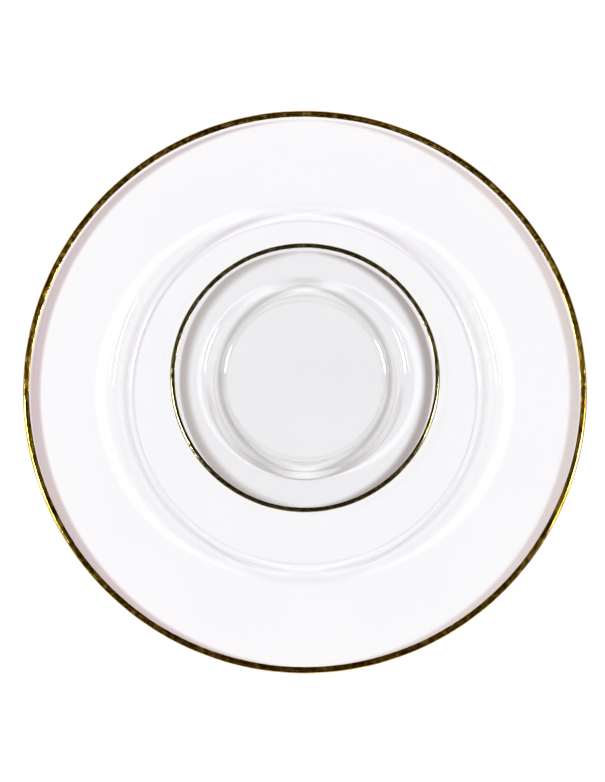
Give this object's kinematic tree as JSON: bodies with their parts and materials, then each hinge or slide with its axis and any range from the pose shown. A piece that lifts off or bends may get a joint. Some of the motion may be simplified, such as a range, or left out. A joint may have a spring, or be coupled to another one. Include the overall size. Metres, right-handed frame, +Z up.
{
  "type": "chip and dip server",
  "caption": "Clear glass serving platter with a wide gold-edged rim, and a small matching dip bowl that stands loose in its well.",
  "frame": {"origin": "middle of the platter's foot, on the table", "axes": "+Z up, -Y the front; the platter is turned about +Z and the bowl stands a little behind its middle"},
  "size_m": [0.33, 0.33, 0.0216],
  "materials": {
    "clear_glass": "clear pressed glass, fire polished",
    "fired_gold": "bright gold, brushed on and fired, slightly uneven at its edge"
  },
  "bodies": {
    "platter": {"platter_glass": "clear_glass", "platter_gold_band": "fired_gold"},
    "dip_bowl": {"dip_bowl_glass": "clear_glass", "dip_bowl_gold_band": "fired_gold"}
  },
  "joints": [
    {"name": "dip_bowl_lift", "type": "slide", "parent": "platter", "child": "dip_bowl", "axis": [0, 0, 1], "range_m": [0, 0.12]}
  ]
}
